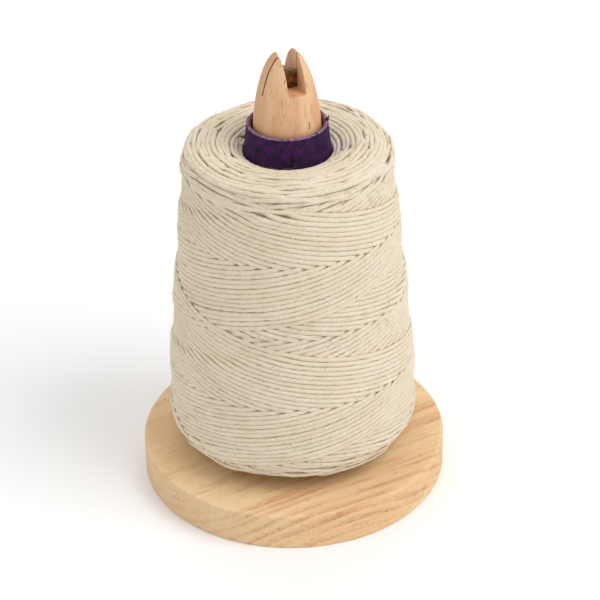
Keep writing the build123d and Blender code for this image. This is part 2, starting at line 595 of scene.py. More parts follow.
@dataclass(frozen=True)
class ZincFinish:
    """Zinc-plated steel screw."""

    bright: Colour = srgb(196, 194, 186)
    dull: Colour = srgb(158, 156, 146)

    def material(self) -> bpy.types.Material:
        """Makes the material.

        Returns:
            The material.
        """
        shade = Shader("zinc_surface")
        cloud = shade.noise(900.0, 3.0, 0.6)
        lathe = shade.noise((2600, 2600, 300), 2.0, 0.5)
        colour = shade.mix(cloud.rise(0.35, 0.7), self.bright, self.dull)
        return shade.done(colour, 0.3 + lathe * 0.25, shade.relief((lathe, 0.02)), Metallic=1.0)


@dataclass(frozen=True)
class CardFinish:
    """Grey-brown wound card: fibres, flecks, the spiral butt joints of its plies and a stained rim."""

    rim_height: float
    seam_lead: float = 95.0
    brown: Colour = srgb(148, 116, 84)
    grey: Colour = srgb(126, 104, 82)
    fleck: Colour = srgb(78, 60, 46)
    stained: Colour = srgb(112, 66, 58)

    def material(self) -> bpy.types.Material:
        """Makes the material.

        Returns:
            The material.
        """
        shade = Shader("card_surface")
        fibre = shade.noise((700, 700, 700), 5.0, 0.7)
        fleck = shade.cells(700.0).rise(0.16, 0.05)
        x, y, z = shade.split(shade.place)
        turns = shade.math("ARCTAN2", y, x) * (1 / FULL_TURN) + z * (1 / (self.seam_lead * MM))
        seam = shade.math("PINGPONG", turns, 0.5).rise(0.012, 0.004)
        rim = z.rise((self.rim_height - 2.5) * MM, (self.rim_height - 0.3) * MM)
        colour = shade.coats(
            self.brown,
            (fibre.rise(0.35, 0.65), self.grey),
            (fleck * 0.6, self.fleck),
            (seam * 0.7, self.fleck),
            (rim * fibre.rise(0.3, 0.55) * 0.8, self.stained))
        return shade.done(colour, 0.9, shade.relief((fibre, 0.12), (seam, -0.25)), Specular_IOR_Level=0.25)


@dataclass(frozen=True)
class PaperFinish:
    """Purple paper, mottled blue-black, with scuffs and a worn rim."""

    rim_height: float
    scuff_turn: float = -109.0
    scuff_drop: float = 10.5
    purple: Colour = srgb(66, 17, 80)
    deep: Colour = srgb(32, 11, 48)
    worn: Colour = srgb(176, 146, 184)
    card: Colour = srgb(146, 92, 78)
    scuff: Colour = srgb(10, 7, 14)

    def material(self) -> bpy.types.Material:
        """Makes the material.

        Returns:
            The material.
        """
        shade = Shader("purple_paper_surface")
        mottle = shade.noise((210, 210, 260), 5.0, 0.68)
        fibre = shade.noise(1900.0, 3.0, 0.65)
        crease = shade.noise((60, 60, 520), 3.0, 0.6)
        _, _, z = shade.split(shade.place)
        _, _, up = shade.split(shade.facing)
        edge = up.rise(0.2, 0.6) * z.rise((self.rim_height - 0.8) * MM, (self.rim_height - 0.2) * MM)
        bare = shade.mix(shade.noise(1300.0).rise(0.46, 0.56), self.worn, self.card)
        colour = shade.coats(
            self.purple,
            (mottle.rise(0.34, 0.64), self.deep),
            (fibre.rise(0.62, 0.78) * 0.12, self.worn),
            (edge * fibre.rise(0.36, 0.56) * 0.9, bare),
            (self._scuffs(shade) * 0.9, self.scuff))
        normal = shade.relief((crease, 0.25), (fibre, 0.05))
        return shade.done(colour, 0.6 + mottle * 0.25, normal, Specular_IOR_Level=0.25)

    def _scuffs(self, shade: Shader) -> Wire:
        """Marks a few black rubs all round and a cluster of them on one side.

        Args:
            shade: The material.

        Returns:
            1 on a rub and 0 off it.
        """
        x, y, z = shade.split(shade.place)
        few = shade.noise(1.0, 3.0, 0.55, shade.mapped((230, 230, 330), shift=(3.1, 0, 1.7))).rise(0.63, 0.67)
        off_cluster = abs(shade.math("ARCTAN2", y, x) - math.radians(self.scuff_turn))
        off_level = abs(z - (self.rim_height - self.scuff_drop) * MM)
        near = off_cluster.rise(0.3, 0.1) * off_level.rise(3.4 * MM, 1.6 * MM)
        many = shade.noise(1.0, 2.0, 0.55, shade.mapped((420, 420, 420), shift=(0.4, 0.2, 0.9)))
        return (few + near * many.rise(0.47, 0.5)).rise(0.0, 1.0)


@dataclass(frozen=True)
class FloorFinish:
    """Plain pale floor."""

    white: Colour = (0.97, 0.97, 0.97, 1.0)
    off_white: Colour = (0.93, 0.93, 0.93, 1.0)

    def material(self) -> bpy.types.Material:
        """Makes the material.

        Returns:
            The material.
        """
        shade = Shader("floor_surface")
        colour = shade.mix(shade.noise(3.0, 1.0) * 0.1, self.white, self.off_white)
        return shade.done(colour, 0.9, Specular_IOR_Level=0.1)


# ---------------------------------------------------------------------------------------------
# Mesh helpers
# ---------------------------------------------------------------------------------------------


def add_object(name: str, mesh: bpy.types.Mesh,
               material: bpy.types.Material | None = None) -> bpy.types.Object:
    """Puts a mesh in the scene at the origin.

    Args:
        name: The object's name.
        mesh: Its mesh.
        material: Its one material.

    Returns:
        The object.
    """
    piece = bpy.data.objects.new(name, mesh)
    bpy.context.scene.collection.objects.link(piece)
    mesh.name = name
    if material:
        mesh.materials.clear()
        mesh.materials.append(material)
    return piece


def mesh_of(name: str, points: np.ndarray, faces: Iterable[Sequence[int]]) -> bpy.types.Mesh:
    """Makes a smooth mesh with its faces turned outwards.

    Args:
        name: The mesh's name.
        points: Corner places in millimetres.
        faces: Corner numbers of each face.

    Returns:
        The mesh, in metres.
    """
    mesh = bpy.data.meshes.new(name)
    mesh.from_pydata((np.asarray(points) * MM).tolist(), [], [list(map(int, face)) for face in faces])
    shell = bmesh.new()
    shell.from_mesh(mesh)
    bmesh.ops.recalc_face_normals(shell, faces=shell.faces)
    if shell.calc_volume(signed=True) < 0:
        bmesh.ops.reverse_faces(shell, faces=shell.faces)
    shell.to_mesh(mesh)
    shell.free()
    mesh.polygons.foreach_set("use_smooth", [True] * len(mesh.polygons))
    return mesh


def ring_faces(rows: int, columns: int) -> list[tuple[int, ...]]:
    """Numbers the corners of a grid of quads that is joined both ways, as on a ring.

    Args:
        rows: Points round the section.
        columns: Points round the turn.

    Returns:
        Four corner numbers for each quad.
    """
    faces = []
    for row in range(rows):
        after = (row + 1) % rows
        for column in range(columns):
            beside = (column + 1) % columns
            faces.append((row * columns + column, row * columns + beside,
                          after * columns + beside, after * columns + column))
    return faces


def turned(section: Sequence[tuple[float, float]], columns: int) -> tuple[np.ndarray, list[tuple[int, ...]]]:
    """Turns a closed section about the upright axis.

    Args:
        section: Radius and height of the section's corners, in millimetres.
        columns: Points round the turn.

    Returns:
        The points, row by row, and the faces.
    """
    angles = np.arange(columns) * (FULL_TURN / columns)
    rows = [np.c_[radius * np.cos(angles), radius * np.sin(angles), np.full(columns, height)]
            for radius, height in section]
    return np.vstack(rows), ring_faces(len(section), columns)


def eased(centre: tuple[float, float], radius: float, start: float, end: float,
          steps: int) -> list[tuple[float, float]]:
    """Gives the points of a rounded corner.

    Args:
        centre: Centre of the rounding.
        radius: Its radius.
        start: First angle in degrees.
        end: Last angle in degrees.
        steps: Number of steps between them.

    Returns:
        The points, in order.
    """
    angles = np.radians(np.linspace(start, end, steps + 1))
    return [(centre[0] + radius * math.cos(a), centre[1] + radius * math.sin(a)) for a in angles]


def points_of(mesh: bpy.types.Mesh) -> np.ndarray:
    """Reads a mesh's points.

    Args:
        mesh: The mesh.

    Returns:
        A row for each point, in millimetres.
    """
    flat = np.empty(3 * len(mesh.vertices))
    mesh.vertices.foreach_get("co", flat)
    return flat.reshape(-1, 3) / MM


def lumps(points: np.ndarray, size: float, seed: float) -> np.ndarray:
    """Gives soft noise at points.

    Args:
        points: Places in millimetres.
        size: Rough size of a lump, in millimetres.
        seed: Shift that picks another pattern.

    Returns:
        A value of about -1 to 1 for each point.
    """
    shift = Vector((seed, -seed, 2 * seed))
    return np.array([noise.noise(Vector(point) / size + shift) for point in points.tolist()])


def baked(piece: bpy.types.Object) -> bpy.types.Object:
    """Applies an object's modifiers to its mesh.

    Args:
        piece: The object.

    Returns:
        The same object with a plain mesh and no modifiers.
    """
    graph = bpy.context.evaluated_depsgraph_get()
    mesh = bpy.data.meshes.new_from_object(piece.evaluated_get(graph), preserve_all_data_layers=True,
                                           depsgraph=graph)
    old = piece.data
    piece.modifiers.clear()
    piece.data = mesh
    bpy.data.meshes.remove(old)
    mesh.name = piece.name
    return piece


# ---------------------------------------------------------------------------------------------
# Pieces on the frame
# ---------------------------------------------------------------------------------------------


def placed(piece: bpy.types.Object, body: str, node: str) -> bpy.types.Object:
    """Puts a piece on its body in place of a CAD node.

    Args:
        piece: The piece.
        body: Body that it rides on.
        node: CAD node that it stands for.

    Returns:
        The piece.
    """
    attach(piece, body)
    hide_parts(node)
    return piece


def dress(node: str, material: bpy.types.Material) -> None:
    """Gives a CAD node a finish.

    Args:
        node: The node's name.
        material: Its finish.
    """
    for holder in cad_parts[node].material_slots:
        holder.material = material


# ---------------------------------------------------------------------------------------------
# Wound string
# ---------------------------------------------------------------------------------------------


class Zone(Enum):
    """Where on the package a strand lies."""

    CROWN = "crown"
    SIDE = "side"
    FOOT = "foot"


@dataclass(frozen=True)
class Outline:
    """Half section of the package's skin, from the collar over the crown and down the side to the foot."""

    arc: np.ndarray
    radius: np.ndarray
    height: np.ndarray
    out_radius: np.ndarray
    out_height: np.ndarray

    @classmethod
    def of_solid(cls, solid: bpy.types.Object, middle: tuple[float, float] = (40.0, 100.0),
                 spacing: float = 0.4, least_gap: float = 0.9) -> "Outline":
        """Reads the skin of a turned solid.

        Args:
            solid: The CAD node.
            middle: Radius and height of a point well inside its section.
            spacing: Spacing of the outline's points, in millimetres.
            least_gap: Nearer corners of the solid than this count as one.

        Returns:
            The outline, without the bore.
        """
        places = points_of(solid.data)
        corners = cls._without_bore(np.c_[np.hypot(places[:, 0], places[:, 1]), places[:, 2]])
        turn = math.radians(140) - np.arctan2(corners[:, 1] - middle[1], corners[:, 0] - middle[0])
        corners = corners[np.argsort(np.mod(turn, FULL_TURN))]
        kept = [corners[0]]
        for corner in corners[1:]:
            if np.hypot(*(corner - kept[-1])) > least_gap:
                kept.append(corner)
        chain = np.array(kept)
        length = np.r_[0, np.cumsum(np.hypot(*np.diff(chain, axis=0).T))]
        arc = np.linspace(0, length[-1], int(length[-1] / spacing) + 1)
        radius = cls._soften(np.interp(arc, length, chain[:, 0]))
        height = cls._soften(np.interp(arc, length, chain[:, 1]))
        along_r, along_z = np.gradient(radius, arc), np.gradient(height, arc)
        size = np.hypot(along_r, along_z)
        return cls(arc, radius, height, -along_z / size, along_r / size)

    @staticmethod
    def _without_bore(corners: np.ndarray, near: float = 0.3) -> np.ndarray:
        """Drops the corners on the bore, a straight taper between two ends.

        Args:
            corners: Radius and height of each corner.
            near: A corner this close to the taper is on it.

        Returns:
            The other corners, in the same order.
        """
        top = corners[corners[:, 0].argmin()]
        lowest = corners[corners[:, 1] < corners[:, 1].min() + 0.05]
        foot = lowest[lowest[:, 0].argmin()]
        share = (corners[:, 1] - foot[1]) / (top[1] - foot[1])
        bore = foot[0] + share * (top[0] - foot[0])
        return corners[~((corners[:, 0] < bore + near) & (share > 0.01) & (share < 0.99))]

    @staticmethod
    def _soften(values: np.ndarray, reach: int = 6) -> np.ndarray:
        """Rounds off small corners and keeps the two ends."""
        padded = np.r_[2 * values[0] - values[reach:0:-1], values, 2 * values[-1] - values[-2:-reach - 2:-1]]
        return np.convolve(padded, np.ones(2 * reach + 1) / (2 * reach + 1), "valid")

    def at(self, arc: np.ndarray, values: np.ndarray) -> np.ndarray:
        """Reads one of the outline's columns at places along it."""
        return np.interp(arc, self.arc, values)

    def arc_of(self, height: float) -> float:
        """Finds a height on the side.

        Args:
            height: The height.

        Returns:
            The place along the outline.
        """
        side = self.radius > 0.75 * self.radius.max()
        gap = np.where(side, np.abs(self.height - height), np.inf)
        return float(self.arc[gap.argmin()])

    def place(self, angle: np.ndarray, arc: np.ndarray, lift: np.ndarray) -> tuple[np.ndarray, np.ndarray]:
        """Gives points over the skin and the direction outwards there.

        Args:
            angle: Angle about the axis.
            arc: Place along the outline.
            lift: Height over the skin.

        Returns:
            The points and the outward directions.
        """
        out_r, out_z = self.at(arc, self.out_radius), self.at(arc, self.out_height)
        radius = self.at(arc, self.radius) + lift * out_r
        height = self.at(arc, self.height) + lift * out_z
        points = np.c_[radius * np.cos(angle), radius * np.sin(angle), height]
        return points, np.c_[out_r * np.cos(angle), out_r * np.sin(angle), out_z]


@dataclass
class Lay:
    """One pull of string round the package, as it was laid, with the number of its first step."""

    angle: np.ndarray
    arc: np.ndarray
    sink: np.ndarray
    first: int
    zone: Zone
    tone: float


@dataclass
class Strand:
    """A stretch of string that shows on the finished package."""

    points: np.ndarray
    outward: np.ndarray
    run: np.ndarray
    zone: Zone
    tone: float


@dataclass
class Winder:
    """Lays string on the package in the order of a cone winder and works out what stays in sight.

    The skin is a grid of cells, with rows along the outline and columns round the package. Each cell keeps
    the number of the newest step of string over it and how many pulls passed it.

    Attributes:
        outline: The skin.
        diameter: Thickness of the string.
        pitch: Distance from a stroke to the next one beside it.
        turns: Rough number of turns in a stroke up and down.
        top_turning, foot_turning: Heights between which the strokes run.
        last_turning: Angle at which the last stroke turns back at the crown, in degrees.
        layers: How often the strokes cover the side.
        turning_spread: How far the turning places of the strokes are spread.
        turning_margin: How far short of the shoulder or heel the first of them is.
        turning_ease: How softly a stroke turns.
        golden_share: Share of the spread from one stroke's turning place to the next one's.
        side_slope: Length of the side for each unit of height.
        offset, wander: Random shift of a stroke, and of its knots along it.
        knots: Number of those knots.
        bows: Least number of bows in a ring, and one more than the most.
        bow_overlap: Least and greatest length of a bow, as a share of its part of the ring.
        bow_straight: Share of a bow's half before it bends off.
        bow_bend, bow_sink: How far the ends of a bow bend along the outline, and sink in.
        cell: Size of a cell.
        mean_girth: Mean girth as a share of the largest.
        step: Length of a step.
        samples: Cells read across the string at each step.
        number_gap: Numbers left out between two pulls, so that they stay apart.
        own_reach: Steps before and after a step that count as the same stretch of string.
        dive: Length of an end that dives under what covers it.
        point_gap: Distance between the points kept.
        cover_depth: How deep a covered end lies, in diameters.
        pass_height: How much an extra pass lifts the skin, in diameters.
        lowest, highest: Limits of that lift.
        stray: Random shift of a point.
        seed: Seed of everything random.
        lays: The pulls laid so far.
    """

    outline: Outline
    diameter: float = 2.5
    pitch: float = 2.45
    turns: float = 4.0
    top_turning: float = 180.4
    foot_turning: float = 31.0
    last_turning: float = -156.0
    layers: float = 1.8
    turning_spread: float = 8.5
    turning_margin: float = 9.5
    turning_ease: float = 1.6
    golden_share: float = 0.618034
    side_slope: float = 1.004
    offset: float = 0.03
    wander: float = 0.05
    knots: int = 24
    bows: tuple[int, int] = (3, 6)
    bow_overlap: tuple[float, float] = (1.2, 1.5)
    bow_straight: float = 0.62
    bow_bend: float = 2.6
    bow_sink: float = 0.6
    cell: float = 0.5
    mean_girth: float = 0.92
    step: float = 0.35
    samples: int = 13
    number_gap: int = 50
    own_reach: int = 9
    dive: float = 3.6
    point_gap: float = 1.4
    cover_depth: float = 0.45
    pass_height: float = 0.4
    lowest: float = -0.7
    highest: float = 0.9
    stray: float = 0.05
    seed: int = 7
    lays: list[Lay] = field(default_factory=list)

    def __post_init__(self) -> None:
        """Clears the package."""
        self.chance = np.random.default_rng(self.seed)
        self.rows = int(self.outline.arc[-1] / self.cell) + 2
        self.columns = int(FULL_TURN * self.outline.radius.max() / self.cell * self.mean_girth)
        self.newest = np.full((self.rows, self.columns), -1, np.int64)
        self.passes = np.zeros((self.rows, self.columns))
        self.offsets = np.linspace(-0.96, 0.96, self.samples) * self.diameter / 2
        self.laid = 0

    def _cells(self, angle: np.ndarray, arc: np.ndarray) -> tuple[np.ndarray, np.ndarray]:
        """Finds the cells across a strand at each of its steps.

        Args:
            angle: Angle about the axis at each step.
            arc: Place along the outline at each step.

        Returns:
            The cells' rows and columns, with a row for each step.
        """
        radius = self.outline.at(arc, self.outline.radius)
        round_step, arc_step = np.gradient(angle) * radius, np.gradient(arc)
        length = np.hypot(round_step, arc_step) + 1e-9
        wide_angle = angle[:, None] - self.offsets * (arc_step / length / radius)[:, None]
        wide_arc = arc[:, None] + self.offsets * (round_step / length)[:, None]
        row = np.clip(np.rint(wide_arc / self.cell).astype(int), 0, self.rows - 1)
        column = np.rint(wide_angle / FULL_TURN * self.columns).astype(int) % self.columns
        return row, column

    def lay(self, angle: np.ndarray, arc: np.ndarray, zone: Zone, sink: np.ndarray | float = 0.0) -> None:
        """Lays one pull of string over what is there.

        Args:
            angle: Angle about the axis at each step.
            arc: Place along the outline at each step.
            zone: Where it lies.
            sink: How far it is pressed in at each step.
        """
        row, column = self._cells(angle, arc)
        number = self.laid + np.arange(len(angle))
        np.maximum.at(self.newest, (row, column), number[:, None] + np.zeros_like(row))
        touched = np.unique(row[:, 1:-1] * self.columns + column[:, 1:-1])
        self.passes.ravel()[touched] += 1
        tone = float(self.chance.uniform())
        self.lays.append(Lay(angle, arc, np.zeros(len(angle)) + sink, self.laid, zone, tone))
        self.laid += len(angle) + self.number_gap

    def lay_rings(self, arcs: Iterable[float], inward: int, zone: Zone) -> None:
        """Lays overlapping bows round one end of the package.

        Args:
            arcs: Place of each ring along the outline, in the order laid.
            inward: Direction along the outline in which a bow's ends bend.
            zone: Which end it is.
        """
        for ring in arcs:
            radius = float(self.outline.at(np.array(ring), self.outline.radius))
            bows = int(self.chance.integers(*self.bows))
            start = self.chance.uniform(0, FULL_TURN)
            for bow in self.chance.permutation(bows):
                half = math.pi / bows * self.chance.uniform(*self.bow_overlap)
                middle = start + FULL_TURN * (bow + self.chance.uniform(-0.12, 0.12)) / bows
                away = np.linspace(-half, half, max(12, int(2 * half * radius / self.step)))
                bend = smooth(np.abs(away) / half, self.bow_straight, 1.0)
                slant = self.chance.uniform(-0.5, 0.5) * away / half
                arc = ring + inward * self.bow_bend * bend + self.chance.uniform(-0.25, 0.25) + slant
                self.lay(middle + away, arc, zone, self.bow_sink * bend)

    def lay_strokes(self, shoulder: float, heel: float, middle: float, middle_height: float) -> None:
        """Lays the crossing strokes, each from the foot up to the crown and down again.

        Args:
            shoulder: Place along the outline where the crown meets the side.
            heel: Place where the side meets the foot.
            middle: Place of the side's middle.
            middle_height: Height of that place.
        """
        travel = self.top_turning - self.foot_turning
        turns = self.turns + self.pitch * self.turns / (2 * travel)
        lead = 2 * travel / turns
        strokes = int(self.layers * lead / self.pitch)
        half = math.pi * turns
        knots = np.linspace(-half, half, self.knots)
        for stroke in range(strokes):
            tip = math.radians(self.last_turning) - FULL_TURN * turns * (strokes - 1 - stroke)
            away = np.linspace(-half, half, int(2 * half * self.outline.radius.mean() / self.step))
            height = self.top_turning - lead / FULL_TURN * np.abs(away)
            arc = middle + (middle_height - height) * self.side_slope
            spread = stroke * self.golden_share
            top = shoulder - self.turning_margin + self.turning_spread * (spread % 1)
            foot = heel + self.turning_margin - self.turning_spread * ((spread + 0.37) % 1)
            arc = top + self.turning_ease * np.logaddexp(0, (arc - top) / self.turning_ease)
            arc = foot - self.turning_ease * np.logaddexp(0, (foot - arc) / self.turning_ease)
            arc = arc + self.chance.normal(0, self.offset)
            arc = arc + np.interp(away, knots, self.chance.normal(0, self.wander, self.knots))
            self.lay(tip + away, arc, Zone.SIDE)

    def _relief(self, reach: int = 5) -> np.ndarray:
        """Gives how far the skin stands off its even outline, from how often each place was passed.

        Args:
            reach: Cells on each side that share a pass.

        Returns:
            The height of each cell.
        """
        weights = np.hanning(2 * reach + 3)[1:-1]
        weights = weights / weights.sum()
        level = np.pad(self.passes, ((reach, reach), (0, 0)), mode="edge")
        level = sum(weight * level[k:k + self.rows] for k, weight in enumerate(weights))
        level = sum(weight * np.roll(level, k - reach, axis=1) for k, weight in enumerate(weights))
        level = level - level.mean(1, keepdims=True)
        return np.clip(self.pass_height * self.diameter * level, self.lowest, self.highest)

    @staticmethod
    def _even(values: np.ndarray, reach: int = 4) -> np.ndarray:
        """Averages values along a strand over a soft window."""
        window = np.hanning(2 * reach + 3)[1:-1]
        return np.convolve(np.pad(values, reach, mode="edge"), window / window.sum(), "valid")

    def strands(self) -> list[Strand]:
        """Picks out the stretches of string in sight, with ends that dive under what covers them.

        Returns:
            The strands, in the order laid.
        """
        relief = self._relief()
        dive = int(self.dive / self.step)
        every = int(self.point_gap / self.step)
        middle = self.samples // 2
        found = []
        for lay in self.lays:
            row, column = self._cells(lay.angle, lay.arc)
            number = lay.first + np.arange(len(lay.angle))
            own = np.abs(self.newest[row, column] - number[:, None]) <= self.own_reach
            depth = self._even(self.cover_depth * self.diameter * smooth(1 - own.mean(1), 0.35, 1.0))
            level = self._even(relief[row[:, middle], column[:, middle]])
            lift = level * smooth(lay.arc, 6, 16) - self.diameter / 2 - depth - lay.sink
            shown = np.convolve(own[:, 2:-2].any(1), np.ones(2 * dive + 1), "same") > 0
            edges = np.flatnonzero(np.diff(np.r_[0, shown.astype(int), 0]))
            for start, end in zip(edges[::2], edges[1::2]):
                if end - start < 2 * dive + 8:
                    continue
                picked = np.unique(np.r_[np.arange(start, end, every), end - 1])
                stray = self.chance.normal(0, self.stray, (2, len(picked)))
                points, outward = self.outline.place(lay.angle[picked], lay.arc[picked] + stray[0],
                                                     lift[picked] + stray[1])
                found.append(Strand(points, outward, picked * self.step, lay.zone, lay.tone))
        return found


class StrandSweep:
    """Geometry Nodes that sweep a round strand along lines, with its thin side towards the surface."""

    def __init__(self, diameter: float, material: bpy.types.Material, sides: int = 10) -> None:
        """Builds the tree.

        Args:
            diameter: The strand's diameter in millimetres.
            material: Its finish.
            sides: Sides of its section.
        """
        self.given = {"Diameter": ("NodeSocketFloat", diameter * MM), "Sides": ("NodeSocketInt", sides),
                      "Crowding": ("NodeSocketFloat", 0.42), "Flatness": ("NodeSocketFloat", 0.1),
                      "Finish": ("NodeSocketMaterial", material)}
        self.swell = 0.06
        self.slub = 0.04
        self.chance = np.random.default_rng(11)
        self.tree = bpy.data.node_groups.new("strand_sweep", "GeometryNodeTree")
        self.identifiers = self._declare()
        self._build()

    def _declare(self) -> dict[str, str]:
        """Names the tree's inputs and output.

        Returns:
            The identifier of each input's socket.
        """
        face = self.tree.interface
        face.new_socket("Lines", in_out="INPUT", socket_type="NodeSocketGeometry")
        identifiers = {}
        for name, (kind, _) in self.given.items():
            identifiers[name] = face.new_socket(name, in_out="INPUT", socket_type=kind).identifier
        face.new_socket("Strands", in_out="OUTPUT", socket_type="NodeSocketGeometry")
        return identifiers

    def _build(self) -> None:
        """Adds the nodes: a section with more sides outwards, swept along curves made from the lines."""
        graph = Graph(self.tree)
        given = graph.node("NodeGroupInput")
        section = self._section(graph, given)
        curve = graph.node("GeometryNodeMeshToCurve", None, {"Mesh": given["Lines"]})[0]
        reader = "GeometryNodeInputNamedAttribute"
        outward = graph.node(reader, {"data_type": "FLOAT_VECTOR"}, {"Name": "outward"})["Attribute"]
        thickness = graph.node(reader, {"data_type": "FLOAT"}, {"Name": "thickness"})["Attribute"]
        facing = {"Curve": curve, "Normal": outward}
        curve = graph.node("GeometryNodeSetCurveNormal", {"mode": "FREE"}, facing)[0]
        swept = graph.node("GeometryNodeCurveToMesh", None, {
            "Curve": curve, "Profile Curve": section, "Fill Caps": True, "Scale": thickness})[0]
        swept = graph.node("GeometryNodeSetShadeSmooth", None, {"Geometry": swept})[0]
        whole = graph.node("GeometryNodeRealizeInstances", None, {"Geometry": swept})[0]
        finish = {"Geometry": whole, "Material": given["Finish"]}
        dressed = graph.node("GeometryNodeSetMaterial", None, finish)[0]
        graph.node("NodeGroupOutput", None, {"Strands": dressed})

    @staticmethod
    def _section(graph: Graph, given: Outlets) -> Wire:
        """Makes the strand's flattened section, which carries its unit circle as the attribute around.

        Args:
            graph: The tree.
            given: The tree's inputs.

        Returns:
            The section.
        """
        circle = graph.node("GeometryNodeCurvePrimitiveCircle", {"mode": "RADIUS"},
                            {"Resolution": given["Sides"], "Radius": 1.0})["Curve"]
        x, y, _ = graph.split(graph.node("GeometryNodeInputPosition")[0])
        angle = graph.math("ARCTAN2", y, x)
        crowded = angle - graph.math("SINE", angle) * given["Crowding"]
        across = graph.vector(graph.math("COSINE", crowded), graph.math("SINE", crowded), 0.0)
        section = graph.node("GeometryNodeSetPosition", None, {"Geometry": circle, "Position": across})[0]
        section = graph.node(
            "GeometryNodeStoreNamedAttribute", {"data_type": "FLOAT_VECTOR", "domain": "POINT"},
            {"Geometry": section, "Name": "around", "Value": graph.node("GeometryNodeInputPosition")[0]})[0]
        half = given["Diameter"] * 0.5
        size = graph.vector(half * (1 - given["Flatness"]), half * (1 + given["Flatness"]), half)
        return graph.node("GeometryNodeTransform", None, {"Geometry": section, "Scale": size})[0]

    def sweep(self, name: str, strands: Sequence[Strand]) -> bpy.types.Object:
        """Makes one piece from many strands.

        Args:
            name: The piece's name.
            strands: The strands in it.

        Returns:
            The piece, with a plain mesh.
        """
        piece = add_object(name, self._lines(name, strands))
        sweeper = piece.modifiers.new("strand_sweep", "NODES")
        sweeper.node_group = self.tree
        for label, (_, value) in self.given.items():
            sweeper[self.identifiers[label]] = value
        baked(piece)
        for spare in ("outward", "thickness"):
            if spare in piece.data.attributes:
                piece.data.attributes.remove(piece.data.attributes[spare])
        return piece

    def _lines(self, name: str, strands: Sequence[Strand]) -> bpy.types.Mesh:
        """Makes the strands' middle lines, with what the tree and the finish read on them.

        Args:
            name: The mesh's name.
            strands: The strands.

        Returns:
            A mesh of edges.
        """
        counts = [len(strand.points) for strand in strands]
        starts = np.cumsum([0] + counts[:-1])
        edges = np.vstack([np.c_[np.arange(n - 1), np.arange(1, n)] + s for n, s in zip(counts, starts)])
        points = np.vstack([strand.points for strand in strands])
        lines = bpy.data.meshes.new(name)
        lines.from_pydata((points * MM).tolist(), edges.tolist(), [])
        run = np.concatenate([strand.run for strand in strands])
        tone = np.repeat([strand.tone for strand in strands], counts)
        thickness = 1 + self.swell * np.sin(run * 0.9 + 20 * tone) * np.sin(run * 0.37 + 50 * tone)
        thickness += self.chance.normal(0, self.slub, len(thickness))
        for label, values in (("run", run), ("tone", tone), ("thickness", thickness)):
            lines.attributes.new(label, "FLOAT", "POINT").data.foreach_set("value", values)
        outward = np.vstack([strand.outward for strand in strands])
        lines.attributes.new("outward", "FLOAT_VECTOR", "POINT").data.foreach_set("vector", outward.ravel())
        return lines


